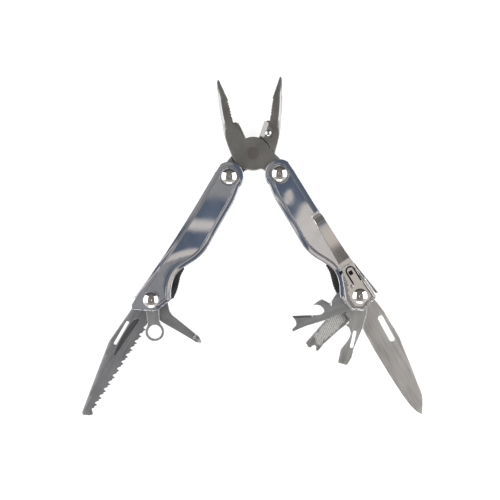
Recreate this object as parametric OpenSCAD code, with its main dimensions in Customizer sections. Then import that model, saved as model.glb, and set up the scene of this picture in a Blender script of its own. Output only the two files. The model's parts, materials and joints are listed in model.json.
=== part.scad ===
// Pliers multi-tool lying open on a table, jaws and handles spread, every implement fanned out.
// The front faces +Z. The origin is on the table, under the middle of the opened tool.

/* [Pose at rest] */
// Angle of the front jaw from the closed line
front_jaw_open = 24.6; // [15:0.1:26]
// Angle of the rear jaw from the closed line
rear_jaw_open = 18.7; // [15:0.1:26]
// Angle of the left handle from straight down
left_handle_angle = 32.3; // [28:0.1:38]
// Angle of the right handle from straight down
right_handle_angle = 33.3; // [28:0.1:38]
// Angle of the knife from its folded direction
knife_open = 175; // [150:1:180]
// Angle of the saw from its folded direction
saw_open = 178; // [150:1:180]
// Angle of the lanyard ring from its folded direction
ring_open = 141; // [130:1:150]
// Angle of the Phillips driver from its folded direction
phillips_open = 97.6; // [90:0.1:105]
// Angle of the flat screwdriver from its folded direction
driver_open = 134.4; // [125:0.1:140]
// Angle of the file from its folded direction
file_open = 104; // [98:0.1:110]
// Angle of the bottle opener from its folded direction
opener_open = 80.7; // [76:0.1:86]

/* [Pliers head] */
// Distance from the main pivot to each handle pivot
tang_reach = 20; // [19.6:0.1:20.4]
// Angle of each tang from straight down with the jaws closed
tang_angle = 27.5; // [27:0.1:28.5]
// Half thickness of the head
head_half = 3.6; // [3.4:0.05:3.6]
// Radius of the lap joint disc
disc_r = 10; // [9.6:0.1:10.2]
// Radius of the flush main pivot
main_pivot_r = 3.7; // [3:0.1:4]
// Number of fine teeth on each jaw
fine_teeth = 9; // [5:1:12]
// Number of coarse teeth on each jaw
coarse_teeth = 5; // [3:1:7]

/* [Handles] */
// Distance from the handle pivot to the tool bolt
handle_len = 87.5; // [87:0.5:88]
// Gap between the two side plates
plate_gap = 11.2; // [11.1:0.1:11.4]
// Thickness of a side plate
plate_t = 1.2; // [1:0.1:1.4]
// Depth of the dished panel in each side plate
panel_depth = 0.4; // [0.2:0.05:0.5]
// Width of the raised border around the panel
border_w = 3.2; // [2.4:0.1:4]
// Radius of the rivet heads
dome_r = 4.6; // [4:0.1:4.8]
// Height of the rivet heads
dome_h = 1.6; // [1.2:0.1:2]
// Radius of the pivot pins
pin_r = 2.5; // [2.2:0.1:2.6]

/* [Implements] */
// Thickness of the knife blade
knife_t = 1.7; // [1.4:0.1:1.7]
// Thickness of the saw blade
saw_t = 1.6; // [1.3:0.1:1.7]
// Number of large saw teeth
saw_teeth = 12; // [8:1:14]
// Radius of the lanyard hole
lanyard_r = 4.05; // [3.5:0.05:4.2]
// Number of ridges on each black grip insert
grip_ridges = 12; // [6:1:16]

/* [Pocket clip] */
// Thickness of the clip strip
clip_t = 0.9; // [0.7:0.1:1]
// Clearance under the clip strip
clip_gap = 1.3; // [0.8:0.1:1.6]

/* [Hidden] */
$fn = 64;

// small amounts
fit = 0.05;          // radial clearance of every pivot
lap = 0.05;          // half of the gap between the two lap discs
eps = 0.01;          // lets cutting tools run past a face

// places
inner_half = plate_gap / 2;
outer_half = inner_half + plate_t;
lift = outer_half + dome_h;              // middle plane above the table
main_pivot = [0.9, 55.4];                // main pivot in the table plane

// layers of the tool stack, as [bottom, top] from the middle plane
knife_z = [-5.5, -5.5 + knife_t];
saw_z = [-5.5, -5.5 + saw_t];
liner_z = [-3.6, -2.9];
file_z = [-2.7, -1.1];
right_grip_z = [-0.95, 1.25];
driver_z = [1.4, 3.1];
opener_z = [3.7, 5.4];
left_grip_z = [-2.7, -1.15];
phillips_z = [-1.0, 1.2];
ring_z = [1.6, 3.2];
flange_z = [4.0, inner_half];

// lock levers
lever_hinge = [70.5, -6.9];
lever_pin_r = 0.8;
lever_boss_r = 1.5;
lever_t = 1.4;
lever_z = [-2.4, 2.4];
right_lever_out = 6;                     // degrees that the lever stands out at rest
left_lever_out = 2.5;

// ---------- curves ----------
function lerp(a, b, t) = a + (b - a) * t;

// Catmull-Rom curve through open points, n steps a span
function bend(p0, p1, p2, p3, t) =
    0.5 * (2 * p1 + (p2 - p0) * t + (2 * p0 - 5 * p1 + 4 * p2 - p3) * t * t
        + (3 * p1 - p0 - 3 * p2 + p3) * t * t * t);
function smooth(p, n) = let (last = len(p) - 1)
    concat([for (i = [0 : last - 1], k = [0 : n - 1])
        bend(p[max(i - 1, 0)], p[i], p[i + 1], p[min(i + 2, last)], k / n)], [p[last]]);

// arc about a centre, from angle a0 to a1
function arc(c, r, a0, a1, n) =
    [for (k = [0 : n]) c + r * [cos(lerp(a0, a1, k / n)), sin(lerp(a0, a1, k / n))]];

function left_of(v) = [-v[1], v[0]] / norm(v);
// a closed outline moved inwards by d (outline runs anticlockwise)
function inset(p, d) = let (n = len(p))
    [for (i = [0 : n - 1]) p[i] + d * left_of(p[(i + 1) % n] - p[(i - 1 + n) % n])];
// an open curve moved to its left by d
function beside(p, d) = let (last = len(p) - 1)
    [for (i = [0 : last]) p[i] + d * left_of(p[min(i + 1, last)] - p[max(i - 1, 0)])];
function reversed(p) = [for (i = [len(p) - 1 : -1 : 0]) p[i]];

// a row of triangular teeth from point a to point b, standing to the left of the line
function teeth(a, b, n, h) = let (d = (b - a) / n, s = [-d[1], d[0]] / norm(d) * h)
    [for (i = [0 : n - 1], k = [0, 1]) k == 0 ? a + d * i : a + d * (i + 0.5) + s];

// ---------- frames ----------
module slab(z) translate([0, 0, z[0]]) linear_extrude(z[1] - z[0]) children();
module on_table() translate([main_pivot[0], main_pivot[1], lift]) children();

// closed frame of each jaw: +Y along the closed jaws
module front_jaw_frame() on_table() rotate(front_jaw_open) children();
module rear_jaw_frame() on_table() rotate(-rear_jaw_open) rotate([0, 180, 0]) children();

// handle frame: +X from the handle pivot to the tool bolt, +Y to the side the implements open
module left_frame() on_table()
    rotate(-90 - tang_angle - rear_jaw_open) translate([tang_reach, 0, 0])
    rotate(tang_angle + rear_jaw_open - left_handle_angle) children();
module right_frame() on_table() mirror([1, 0, 0])
    rotate(-90 - tang_angle - front_jaw_open) translate([tang_reach, 0, 0])
    rotate(tang_angle + front_jaw_open - right_handle_angle) children();

// implement frame: +X along the implement from the tool bolt
module implement(opened) translate([handle_len, 0, 0]) rotate(180 - opened) children();

// ---------- shared shapes ----------
module round_bar(r, z) translate([0, 0, z[0]]) cylinder(r = r, h = z[1] - z[0]);
module ring(r_out, r_in, z) difference() {
    round_bar(r_out, z);
    round_bar(r_in, [z[0] - eps, z[1] + eps]);
}
module pin_hole() round_bar(pin_r + fit, [-inner_half, inner_half]);
module eye(z) round_bar(5.4, z);

// round-ended slot along the implement
module slot(at, length, r) {
    for (x = [0, length]) translate([at[0] + x, at[1]]) circle(r = r);
    translate([at[0], at[1] - r]) square([length, 2 * r]);
}

// spherical cap standing on z = 0
module dome(r, h) {
    ball = (r * r + h * h) / (2 * h);
    intersection() {
        translate([0, 0, h - ball]) sphere(r = ball);
        cylinder(r = r, h = h + eps);
    }
}
module domed_rivet(front_top) {
    round_bar(pin_r, [-outer_half, front_top]);
    translate([0, 0, front_top]) dome(dome_r, dome_h);
    translate([0, 0, -outer_half]) mirror([0, 0, 1]) dome(dome_r, dome_h);
}

// ---------- handle plates ----------
inner_edge = [[2, 8.5], [10, 10.0], [20, 10.5], [32, 11.0], [41, 11.5], [47, 11.2],
    [53, 9.6], [59, 6.8], [64.2, 4.9], [69.5, 4.8], [75, 6.6], [80, 9.5]];
left_end = [[95.8, -8.3], [98, -7], [98, -6.2], [92, 5.2], [90.4, 6.8], [82.5, 9.6]];
right_end = [[92.4, -8.4], [93.4, -7.6], [96.1, 2.4], [95.8, 3.4], [91.8, 8.6], [90.6, 9.2], [82, 10.2]];
outer_edge = [[3, -8.3], [14, -8.0], [30, -7.6], [55, -7.6], [75, -8.2], [88, -8.6]];
top_r = 8.7;
inner_curve = smooth(reversed(inner_edge), 3);
function handle_outline(end) =
    concat(outer_edge, end, inner_curve, arc([0, 0], top_r, 85, 255, 14));
panel_outline = concat(
    beside(outer_edge, border_w),
    [[91.2, -4.8], [88, 3], [82, 5.4]],
    beside(inner_curve, border_w),
    arc([0, 0], top_r - border_w, 95, 245, 10)
);
inner_flange_end = 44;                   // the implements leave past this point
flange_t = 0.7;

module handle_plate(end) difference() {
    slab([inner_half, outer_half]) polygon(handle_outline(end));
    slab([outer_half - panel_depth, outer_half + eps]) difference() {
        polygon(panel_outline);
        circle(r = dome_r + 0.7);
        translate([handle_len, 0]) circle(r = dome_r + 0.7);
    }
    for (x = [0, handle_len]) translate([x, 0, 0])
        round_bar(pin_r, [inner_half - eps, outer_half + eps]);
}
module handle_flange() slab(flange_z) difference() {
    polygon(handle_outline(left_end));
    polygon(inset(handle_outline(left_end), flange_t));
    translate([inner_flange_end, -5]) square([60, 20]);
    translate([66, -12]) square([40, 12]);
}
module front_plate(end) {
    difference() {
        handle_plate(end);
        translate([lever_hinge[0], lever_hinge[1], 0])
            round_bar(lever_pin_r, [inner_half - eps, inner_half + plate_t / 2]);
    }
    handle_flange();
}
module rear_plate(end) mirror([0, 0, 1]) handle_plate(end);
module left_front_plate() color("lightsteelblue") left_frame() front_plate(left_end);
module left_rear_plate() color("lightsteelblue") left_frame() rear_plate(left_end);
module right_front_plate() color("lightsteelblue") right_frame() front_plate(right_end);
module right_rear_plate() color("lightsteelblue") right_frame() rear_plate(right_end);

// ---------- rivets, washers and spacers ----------
module tool_bolt() translate([handle_len, 0, 0]) children();
module left_handle_rivet() color("silver") left_frame() domed_rivet(outer_half);
module right_handle_rivet() color("silver") right_frame() domed_rivet(outer_half);
module left_tool_rivet() color("silver") left_frame() tool_bolt() domed_rivet(outer_half);
module right_tool_rivet() color("silver") right_frame() tool_bolt()
    domed_rivet(outer_half + clip_t);

washer_r = 3.6;
module handle_washers() for (side = [0, 1]) mirror([0, 0, side])
    ring(washer_r, pin_r, [head_half + fit, inner_half]);
module left_handle_washers() color("gray") left_frame() handle_washers();
module right_handle_washers() color("gray") right_frame() handle_washers();

spacer_r = 4.4;
module left_tool_spacers() color("gray") left_frame() tool_bolt()
    ring(spacer_r, pin_r, [ring_z[1] + 0.1, inner_half]);
module right_tool_spacers() color("gray") right_frame() tool_bolt()
    ring(spacer_r, pin_r, [driver_z[1] + 0.05, opener_z[0] - 0.05]);

// ---------- liners and grip inserts ----------
// its lower ear holds the rear end of the lock lever's pin
liner_outline = [[42, 3.5], [50, -1.2], [60, -4.4], [66, -5.4], [68.4, -7.4], [72.6, -7.9],
    [75, -6.4], [80, -6.6], [92, -6.6], [93, -3], [90, 4.6], [80, 7.4], [69, 3.2], [63, 3.6],
    [53, 7.6], [45, 9.2], [42, 8.4]];
module liner() difference() {
    slab(liner_z) polygon(liner_outline);
    tool_bolt() round_bar(pin_r, [liner_z[0] - eps, liner_z[1] + eps]);
    translate([lever_hinge[0], lever_hinge[1], 0])
        round_bar(lever_pin_r, [liner_z[0] - eps, liner_z[1] + eps]);
}
module left_liner() color("slategray") left_frame() liner();
module right_liner() color("slategray") right_frame() liner();

// ridged thumb rest that shows in the hollow of the handle
crest = [[61, 6.5], [66, 6.9], [70.5, 8.4], [75, 9.8], [80, 10.5]];
module grip_insert(z) {
    top = smooth(crest, 6);
    last = len(top) - 1;
    difference() {
        union() {
            slab(z) polygon(concat([[61, 2.2], [68.5, -3.9], [78, -6.1], [91, -6.1],
                [92.5, -2], [88, 6.4], [81.5, 9.6]], reversed(top)));
            for (i = [0 : grip_ridges - 1]) {
                p = top[round(lerp(1, last - 1, i / (grip_ridges - 1)))];
                translate([p[0], p[1], 0]) round_bar(0.45, z);
            }
        }
        tool_bolt() round_bar(pin_r, [z[0] - eps, z[1] + eps]);
    }
}
module left_grip_insert() color("#202022") left_frame() grip_insert(left_grip_z);
module right_grip_insert() color("#202022") right_frame() grip_insert(right_grip_z);

// ---------- lock levers ----------
lever_len = 21;
module lock_pin() translate([lever_hinge[0], lever_hinge[1], 0])
    round_bar(lever_pin_r, [liner_z[0], inner_half + plate_t / 2]);
module lock_lever(out) translate([lever_hinge[0], lever_hinge[1], 0]) rotate(-out)
    difference() {
        union() {
            round_bar(lever_boss_r, lever_z);
            translate([0, -lever_boss_r, lever_z[0]])
                cube([lever_len, lever_t, lever_z[1] - lever_z[0]]);
            translate([lever_len, -lever_boss_r + lever_t / 2, 0])
                round_bar(lever_t / 2, lever_z);
        }
        round_bar(lever_pin_r + fit, [lever_z[0] - eps, lever_z[1] + eps]);
    }
module left_lock_pin() color("gray") left_frame() lock_pin();
module right_lock_pin() color("gray") right_frame() lock_pin();
module left_lock_lever() color("silver") left_frame() lock_lever(left_lever_out);
module right_lock_lever() color("silver") right_frame() lock_lever(right_lever_out);

// ---------- pliers jaws ----------
// Closed frame of the front jaw: its nose is at -X, its tang at +X, its own disc is the front half.
nose_top = 49.4;
nose_outer = [[-0.9, nose_top - 0.2], [-1.8, 48.4], [-2.6, 46.6], [-3.9, 43], [-5.0, 39.6],
    [-6.4, 35.6], [-7.5, 31.8], [-8.6, 27.8], [-9.4, 24.2], [-10.4, 20.8], [-11.0, 17.8],
    [-11.5, 14.5], [-11.9, 10.5]];
shoulder = [[-12.1, 7], [-12.3, 2], [-11.6, -2], [-9.6, -5.4], [-6.5, -7.6], [-3, -9.54]];
bite = 0.12;                             // each jaw stops this far from the closed line
fine_top = 47.5;
coarse_top = 35.2;
coarse_end = [-2.5, 24.8];
cutter_top = 21.6;
cutter_bottom = 10.9;
nose_inner = concat(
    [[-bite - 0.5, cutter_bottom], [-bite - 0.5, cutter_top], [-2.4, cutter_top + 1.2]],
    teeth(coarse_end, [-1.2, 30.4], round(coarse_teeth / 2), 0.45),
    teeth([-1.2, 30.4], [-bite - 0.35, coarse_top], coarse_teeth - round(coarse_teeth / 2), 0.45),
    teeth([-bite - 0.3, coarse_top], [-bite - 0.3, fine_top], fine_teeth, -0.28),
    [[-bite - 0.3, fine_top + 1], [-0.4, nose_top]]
);
nose_plan = concat(nose_inner, nose_outer);
lap_clear = disc_r + 0.5;                // nothing thicker than half comes nearer the pivot
tang_clear = 13.1;
boss_r = 7.6;
neck_top = 9;                            // half width of the tang at the disc and at the boss
neck_end = 6.8;
tang_end = tang_reach * [sin(tang_angle), -cos(tang_angle)];

// side profile of the nose: half thickness at each height
nose_profile = [[-30, head_half], [16, head_half], [20, 3.2], [27, 2.5], [40, 1.9],
    [nose_top + 1, 1.5]];
module nose_taper() rotate([90, 0, -90]) linear_extrude(40, center = true)
    polygon(concat([for (p = nose_profile) [-p[0], p[1]]],
        [for (p = reversed(nose_profile)) [-p[0], -p[1]]]));

// straight-sided bar between the disc and the boss at the tang's end
tang_side = [cos(tang_angle), sin(tang_angle)];
module tang_plan() intersection() {
    union() {
        polygon([-tang_side * neck_top, tang_side * neck_top, tang_end + tang_side * neck_end,
            tang_end - tang_side * neck_end]);
        translate(tang_end) circle(r = boss_r);
    }
    translate([0.25, -40]) square([40, 80]);
}
module jaw_body() difference() {
    intersection() {
        union() {
            slab([lap, head_half]) {
                circle(r = disc_r);
                polygon(concat([[-bite - 0.5, 0], [-bite - 0.5, cutter_bottom + 0.2],
                    [-11.7, 10.5]], shoulder));
                tang_plan();
            }
            slab([-head_half, head_half]) difference() {
                polygon(nose_plan);
                circle(r = lap_clear);
            }
            slab([-head_half, head_half]) difference() {
                tang_plan();
                circle(r = tang_clear);
            }
        }
        nose_taper();
    }
    round_bar(main_pivot_r, [-eps, head_half + eps]);
    translate([tang_end[0], tang_end[1], 0]) pin_hole();
    cutter_pocket();
}
module front_jaw() color("dimgray") front_jaw_frame() jaw_body();
module rear_jaw() color("dimgray") rear_jaw_frame() difference() {
    jaw_body();
    round_bar(main_pivot_r + fit, [-eps, head_half + eps]);
}
module main_pivot_rivet() color("gray") front_jaw_frame()
    round_bar(main_pivot_r, [-head_half, head_half]);

// ---------- replaceable wire cutters ----------
cutter_plan = [[-bite, cutter_bottom + 0.5], [-bite, 20.9], [-2.2, 20.9], [-6.9, 17.6],
    [-7.6, 14.6], [-6.6, 11.9], [-4.4, 10.8]];
cutter_screw_at = [-4.7, 14.6];
cutter_z = [-2.6, 0.8];                  // lies in the face away from the jaw's own disc
screw_r = 1.2;
module cutter_pocket() {
    slab([-head_half - 1, cutter_z[1]]) difference() {
        polygon(cutter_plan);
        circle(r = lap_clear);
    }
    translate([cutter_screw_at[0], cutter_screw_at[1], 0]) round_bar(screw_r, [-1, 2.4]);
}
module cutter_insert() difference() {
    slab(cutter_z) difference() {
        polygon(cutter_plan);
        circle(r = lap_clear);
    }
    for (side = [0, 1]) translate([-bite, 0, -0.9]) mirror([0, 0, side])
        translate([0, 0, 0.15]) rotate([0, 28, 0]) translate([-4, 8, 0]) cube([6, 16, 4]);
    translate([cutter_screw_at[0], cutter_screw_at[1], 0])
        round_bar(screw_r, [cutter_z[0] - eps, cutter_z[1] + eps]);
}
module cutter_screw() translate([cutter_screw_at[0], cutter_screw_at[1], 0]) {
    round_bar(screw_r, [cutter_z[0], 2.4]);
    translate([0, 0, cutter_z[0]]) mirror([0, 0, 1]) difference() {
        dome(2.1, 0.9);
        translate([-0.3, -2.5, 0.5]) cube([0.6, 5, 1]);
    }
}
module front_wire_cutter() color("silver") front_jaw_frame() cutter_insert();
module front_cutter_screw() color("silver") front_jaw_frame() cutter_screw();
module rear_wire_cutter() color("silver") rear_jaw_frame() cutter_insert();
module rear_cutter_screw() color("silver") rear_jaw_frame() cutter_screw();

// ---------- pocket clip ----------
clip_slant = 2;                          // the strip leans towards the outer edge
clip_side_step = -2.85;                  // and lies to that side of the tool bolt
clip_bend = -20;                         // the arm starts here, measured from the tool bolt
module clip_frame() right_frame() translate([handle_len, clip_side_step, outer_half])
    rotate(clip_slant) children();
module clip_base() color("silver") difference() {
    union() {
        right_frame() slab([outer_half, outer_half + clip_t]) polygon([[70.5, 2.2], [79.1, 5.8],
            [84.6, 8.4], [91.2, 8.3], [95.5, 2.5], [92.9, -7.3], [91.8, -8.0], [74, -7.6],
            [70.5, -7.0]]);
        clip_frame() slab([0, clip_t]) polygon([[clip_bend, -4.2], [clip_bend, 4.2],
            [clip_bend + 6, 4.6], [clip_bend + 6, -3.6]]);
    }
    right_frame() tool_bolt() round_bar(pin_r, [outer_half - eps, outer_half + 2]);
    clip_frame() slab([-eps, clip_t + eps]) {
        difference() {
            clip_tongue(2.9);
            clip_tongue(2.2);
        }
        translate([-14.6, 0.5]) square([1.9, 1.6], center = true);
    }
}
module clip_tongue(half) {
    translate([-15.8, 0]) circle(r = half);
    translate([-15.8, -half]) square([8, 2 * half]);
}
// side profile of the sprung arm, from the bend to the curled tip
clip_side = [[0, 0], [-3, 0], [-8, clip_gap], [-30, clip_gap], [-34, 0.35], [-35.3, 0.35],
    [-36.5, 1.5]];
module clip_arm() color("silver") clip_frame() translate([clip_bend, 0, 0]) intersection() {
    rotate([90, 0, 0]) linear_extrude(20, center = true) polygon(concat(clip_side,
        [for (p = reversed(clip_side)) p + [0, clip_t]]));
    translate([0, 0, -1]) linear_extrude(6) polygon([[0, -4.2], [0, 4.2], [-5, 3.9],
        [-14, 3.5], [-34, 3], [-37, 3], [-37, -3], [-34, -3], [-14, -3.5], [-5, -3.9]]);
}

// ---------- implements ----------
saw_root = [17.5, 6.3];
saw_end = [76.5, 3.6];
module saw() color("silver") left_frame() implement(saw_open) difference() {
    union() {
        slab(saw_z) polygon(concat([[0, -5], [5, -6.4], [10.9, -7.7], [35, -9.6], [80.7, -2.0],
            [81.1, -0.6], [78.6, 3.9], [77.4, 4.1]],
            teeth(saw_end, saw_root, saw_teeth * 2, -1.7),
            [saw_root, [15, 4.9], [8, 4.7], [0, 5]]));
        eye(saw_z);
    }
    slab([saw_z[0] - eps, saw_z[1] + eps]) {
        slot([19.5, -4], 18, 1.5);
        circle(r = pin_r + fit);
    }
}
module lanyard_ring() color("silver") left_frame() implement(ring_open) difference() {
    union() {
        eye(ring_z);
        translate([0, -3.7, ring_z[0]]) cube([17, 7.4, ring_z[1] - ring_z[0]]);
        translate([19.3, 0, 0]) round_bar(5.65, ring_z);
    }
    translate([19.3, 0, 0]) round_bar(lanyard_r, [ring_z[0] - eps, ring_z[1] + eps]);
    pin_hole();
}

module phillips_driver() color("silver") left_frame() implement(phillips_open) difference() {
    union() {
        slab(phillips_z) polygon([[0, -5], [7, -6.0], [13.2, -6.2], [34.2, -2.7], [36.6, -2.6],
            [39.4, -0.9], [39.4, 0], [36.2, 1.5], [15.8, 1.0], [11.4, 2.9], [8.8, 5.0],
            [0, 5]]);
        eye(phillips_z);
    }
    pin_hole();
    // flutes of the cross point
    for (side = [-1, 1]) translate([37.9, -0.5 + side * 2.1, 0.1]) rotate([0, 90, 0])
        cylinder(r = 1.05, h = 7, center = true);
}

// blade cut by the hollow taper of its edge
module edge_taper(z, start, finish, length) intersection() {
    children();
    translate([-8, 0, (z[0] + z[1]) / 2]) rotate([90, 0, 90]) linear_extrude(length)
        polygon([[-16, -(z[1] - z[0]) / 2], [start, -(z[1] - z[0]) / 2], [finish, -0.08],
            [finish, 0.08], [start, (z[1] - z[0]) / 2], [-16, (z[1] - z[0]) / 2]]);
}
module knife_blade() color("gainsboro") right_frame() implement(knife_open) difference() {
    union() {
        edge_taper(knife_z, 2.4, 7.7, 100) slab(knife_z) polygon(concat(
            [[2, -6.0], [9, -7.9], [16, -9.0], [28, -9.6], [34, -9.7], [40, -9.0], [70, -5.4],
            [76, -2.9], [81.5, 0.3], [79, 2.0]],
            smooth([[76, 3.1], [70, 4.5], [58, 5.8], [46, 6.6], [34, 7.2], [19, 7.3]], 2),
            [[14.5, 7.2], [13.2, 5.4], [9, 5.0], [2, 5.2]]));
        eye(knife_z);
    }
    slab([knife_z[0] - eps, knife_z[1] + eps]) {
        slot([18.3, -5.2], 14.2, 1.6);
        circle(r = pin_r + fit);
        for (i = [0 : 6]) translate([17.4 + i * 1.5, -9.6 + 0.06 * (6 - i)]) circle(r = 0.45);
    }
}

driver_t = driver_z[1] - driver_z[0];
module flat_screwdriver() color("silver") right_frame() implement(driver_open) difference() {
    union() {
        slab(driver_z) polygon([[0, -5], [9.6, -6.4], [19.2, -5.7], [31, -3.4], [37.1, -3.2],
            [42.3, -1.5], [42.0, 4.0], [41.2, 4.3], [33.8, 4.3], [29.5, 2.2], [26.5, 0.9],
            [21.8, 1.0], [18.7, 3.4], [14.5, 3.2], [12.6, 5.6], [8, 5.4], [0, 5]]);
        eye(driver_z);
    }
    slab([driver_z[0] - eps, driver_z[1] + eps]) {
        slot([21.9, -1.8], 8.7, 0.9);
        circle(r = pin_r + fit);
    }
    for (side = [0, 1]) translate([0, 0, driver_z[0] + driver_t / 2]) mirror([0, 0, side])
        translate([34, -8, driver_t / 2]) rotate([0, 4, 0]) cube([12, 16, 2]);
}

module file() color("silver") right_frame() implement(file_open) difference() {
    union() {
        slab(file_z) polygon([[0, -5], [18.7, -5.9], [23, -5.2], [35.6, -4.0], [40.6, -4.4],
            [41.6, -4.2], [41.9, -3.2], [40.7, -2.2], [40, -1.0], [40.9, 0], [43, 0.3],
            [43.6, 1.3], [42.8, 4.2], [42.2, 4.5], [24, 4.9], [10, 5.2], [0, 5]]);
        eye(file_z);
    }
    pin_hole();
    // file ridges across the front face
    for (i = [0 : 9]) translate([17 + i * 2.2, 0, file_z[1]]) rotate([0, 45, 12])
        cube([0.3, 14, 0.3], center = true);
}

module bottle_opener() color("silver") right_frame() implement(opener_open) difference() {
    union() {
        slab(opener_z) polygon([[0, -5], [15, -5.3], [24.3, -4.9], [36.7, -3.3], [45.1, -3.0],
            [45.3, -1.7], [42.5, -1.0], [41.1, 1.4], [41.9, 5.6], [36.6, 3.6], [31.3, 1.3],
            [26.2, -0.4], [24, -0.1], [23.1, 1.2], [23.9, 3.8], [25.9, 5.7], [28.4, 6.3],
            [21.6, 7.7], [21.2, 7.0], [18.3, 3.9], [16.9, 4.2], [12.4, 7.2], [6, 6.4],
            [0, 5]]);
        eye(opener_z);
    }
    pin_hole();
}

front_jaw();
front_wire_cutter();
front_cutter_screw();
main_pivot_rivet();
rear_jaw();
rear_wire_cutter();
rear_cutter_screw();
left_front_plate();
left_rear_plate();
left_handle_rivet();
left_handle_washers();
left_tool_rivet();
left_liner();
left_grip_insert();
left_tool_spacers();
left_lock_pin();
left_lock_lever();
right_front_plate();
right_rear_plate();
right_handle_rivet();
right_handle_washers();
right_tool_rivet();
right_liner();
right_grip_insert();
right_tool_spacers();
right_lock_pin();
right_lock_lever();
clip_base();
clip_arm();
saw();
lanyard_ring();
phillips_driver();
knife_blade();
flat_screwdriver();
file();
bottle_opener();
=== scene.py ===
"""Looks of the opened pliers multi tool: polished plates, forged jaws, ground implements, spring clip."""

import json
import math

import bmesh
import bpy
import numpy as np
from mathutils import Matrix, Vector
from mathutils.geometry import delaunay_2d_cdt


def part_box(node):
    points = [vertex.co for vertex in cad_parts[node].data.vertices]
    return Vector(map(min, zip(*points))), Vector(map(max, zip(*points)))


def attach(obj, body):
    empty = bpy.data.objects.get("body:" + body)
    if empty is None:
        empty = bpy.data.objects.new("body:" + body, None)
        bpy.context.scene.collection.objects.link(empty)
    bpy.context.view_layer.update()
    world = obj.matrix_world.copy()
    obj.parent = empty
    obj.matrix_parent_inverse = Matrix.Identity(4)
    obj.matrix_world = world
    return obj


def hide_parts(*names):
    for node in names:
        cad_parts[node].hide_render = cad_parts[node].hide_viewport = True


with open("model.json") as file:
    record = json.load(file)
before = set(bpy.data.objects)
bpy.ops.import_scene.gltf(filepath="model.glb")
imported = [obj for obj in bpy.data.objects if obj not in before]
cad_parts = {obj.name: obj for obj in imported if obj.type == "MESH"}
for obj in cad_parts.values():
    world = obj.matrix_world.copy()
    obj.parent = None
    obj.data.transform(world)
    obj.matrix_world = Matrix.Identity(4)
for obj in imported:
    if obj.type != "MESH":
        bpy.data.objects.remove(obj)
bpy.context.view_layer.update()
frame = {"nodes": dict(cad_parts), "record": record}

# ---------- frames ----------
# Shapes are drawn in millimetres in the frame of the piece they belong to, then set in place in metres.
MM = 0.001
JOINTS = {joint["name"]: joint for joint in frame["record"]["behaviour"]["joints"]}


def joint_at(name):
    return Vector(JOINTS[name]["pos_m"])


MAIN = joint_at("jaw_pivot")
MIDDLE = sum(corner.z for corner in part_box("main_pivot_rivet")) / 2
MAIN = Vector((MAIN.x, MAIN.y, MIDDLE))
PIVOT = {"left": joint_at("left_handle_fold"), "right": joint_at("right_handle_fold")}
BOLT = {"left": joint_at("saw_fold"), "right": joint_at("knife_fold")}
FLIP = {"left": 1, "right": -1}
REACH = (BOLT["left"] - PIVOT["left"]).length / MM

FRONT_JAW_OPEN = 24.6
REAR_JAW_OPEN = 18.7
OPENED = {"knife_blade": 175, "flat_screwdriver": 134.4, "file": 104, "bottle_opener": 80.7,
          "saw": 178, "lanyard_ring": 141, "phillips_driver": 97.6}
RIGHT_TOOLS = ("knife_blade", "flat_screwdriver", "file", "bottle_opener")


def turned(origin, degrees):
    place = Vector((origin.x, origin.y, MIDDLE))
    return Matrix.Translation(place) @ Matrix.Rotation(math.radians(degrees), 4, "Z")


def handle_angle(side):
    along = BOLT[side] - PIVOT[side]
    return math.degrees(math.atan2(along.y, along.x))


def handle_frame(side):
    return turned(PIVOT[side], handle_angle(side)), FLIP[side]


def tool_frame(name):
    side = "right" if name in RIGHT_TOOLS else "left"
    return turned(BOLT[side], handle_angle(side) + FLIP[side] * (180 - OPENED[name])), FLIP[side]


def jaw_frame(which):
    if which == "front":
        return turned(MAIN, FRONT_JAW_OPEN), 1
    return turned(MAIN, -REAR_JAW_OPEN) @ Matrix.Rotation(math.pi, 4, "Y"), 1


# ---------- curves ----------
def smooth(points, steps=6, closed=False):
    """Catmull-Rom curve through the points."""
    p = [np.array(q, float) for q in points]
    count = len(p)
    spans = range(count if closed else count - 1)
    pick = (lambda i: p[i % count]) if closed else (lambda i: p[min(max(i, 0), count - 1)])
    found = []
    for i in spans:
        a, b, c, d = pick(i - 1), pick(i), pick(i + 1), pick(i + 2)
        for k in range(steps):
            t = k / steps
            found.append(0.5 * (2 * b + (c - a) * t + (2 * a - 5 * b + 4 * c - d) * t * t
                                + (3 * b - a - 3 * c + d) * t ** 3))
    if not closed:
        found.append(p[-1])
    return [tuple(q) for q in found]


def arc(centre, radius, start, end, steps):
    angles = np.radians(np.linspace(start, end, steps + 1))
    return [(centre[0] + radius * math.cos(t), centre[1] + radius * math.sin(t)) for t in angles]


def circle(centre, radius, steps=48):
    return arc(centre, radius, 0, 360, steps)[:-1]


def stadium(start, length, radius):
    """Round-ended slot along X."""
    return (arc(start, radius, 90, 270, 12)
            + arc((start[0] + length, start[1]), radius, -90, 90, 12))


def dense(loop, gap, closed=True):
    """The same line with no step longer than gap."""
    found = []
    for i in range(len(loop) if closed else len(loop) - 1):
        a, b = np.array(loop[i], float), np.array(loop[(i + 1) % len(loop)], float)
        count = max(1, math.ceil(np.linalg.norm(b - a) / gap))
        found += [tuple(a + (b - a) * k / count) for k in range(count)]
    return found if closed else found + [tuple(loop[-1])]


def rounded(loop, radius, steps=4):
    """The closed loop with its corners rounded, each as far as its sides allow."""
    found = []
    count = len(loop)
    for i in range(count):
        a, b, c = (np.array(loop[(i + k) % count], float) for k in (-1, 0, 1))
        to_a, to_c = a - b, c - b
        reach_a, reach_c = np.linalg.norm(to_a), np.linalg.norm(to_c)
        cut = min(radius, 0.42 * reach_a, 0.42 * reach_c)
        start, end = b + to_a / reach_a * cut, b + to_c / reach_c * cut
        for k in range(steps + 1):
            t = k / steps
            found.append(tuple((1 - t) ** 2 * start + 2 * t * (1 - t) * b + t * t * end))
    return found


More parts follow.
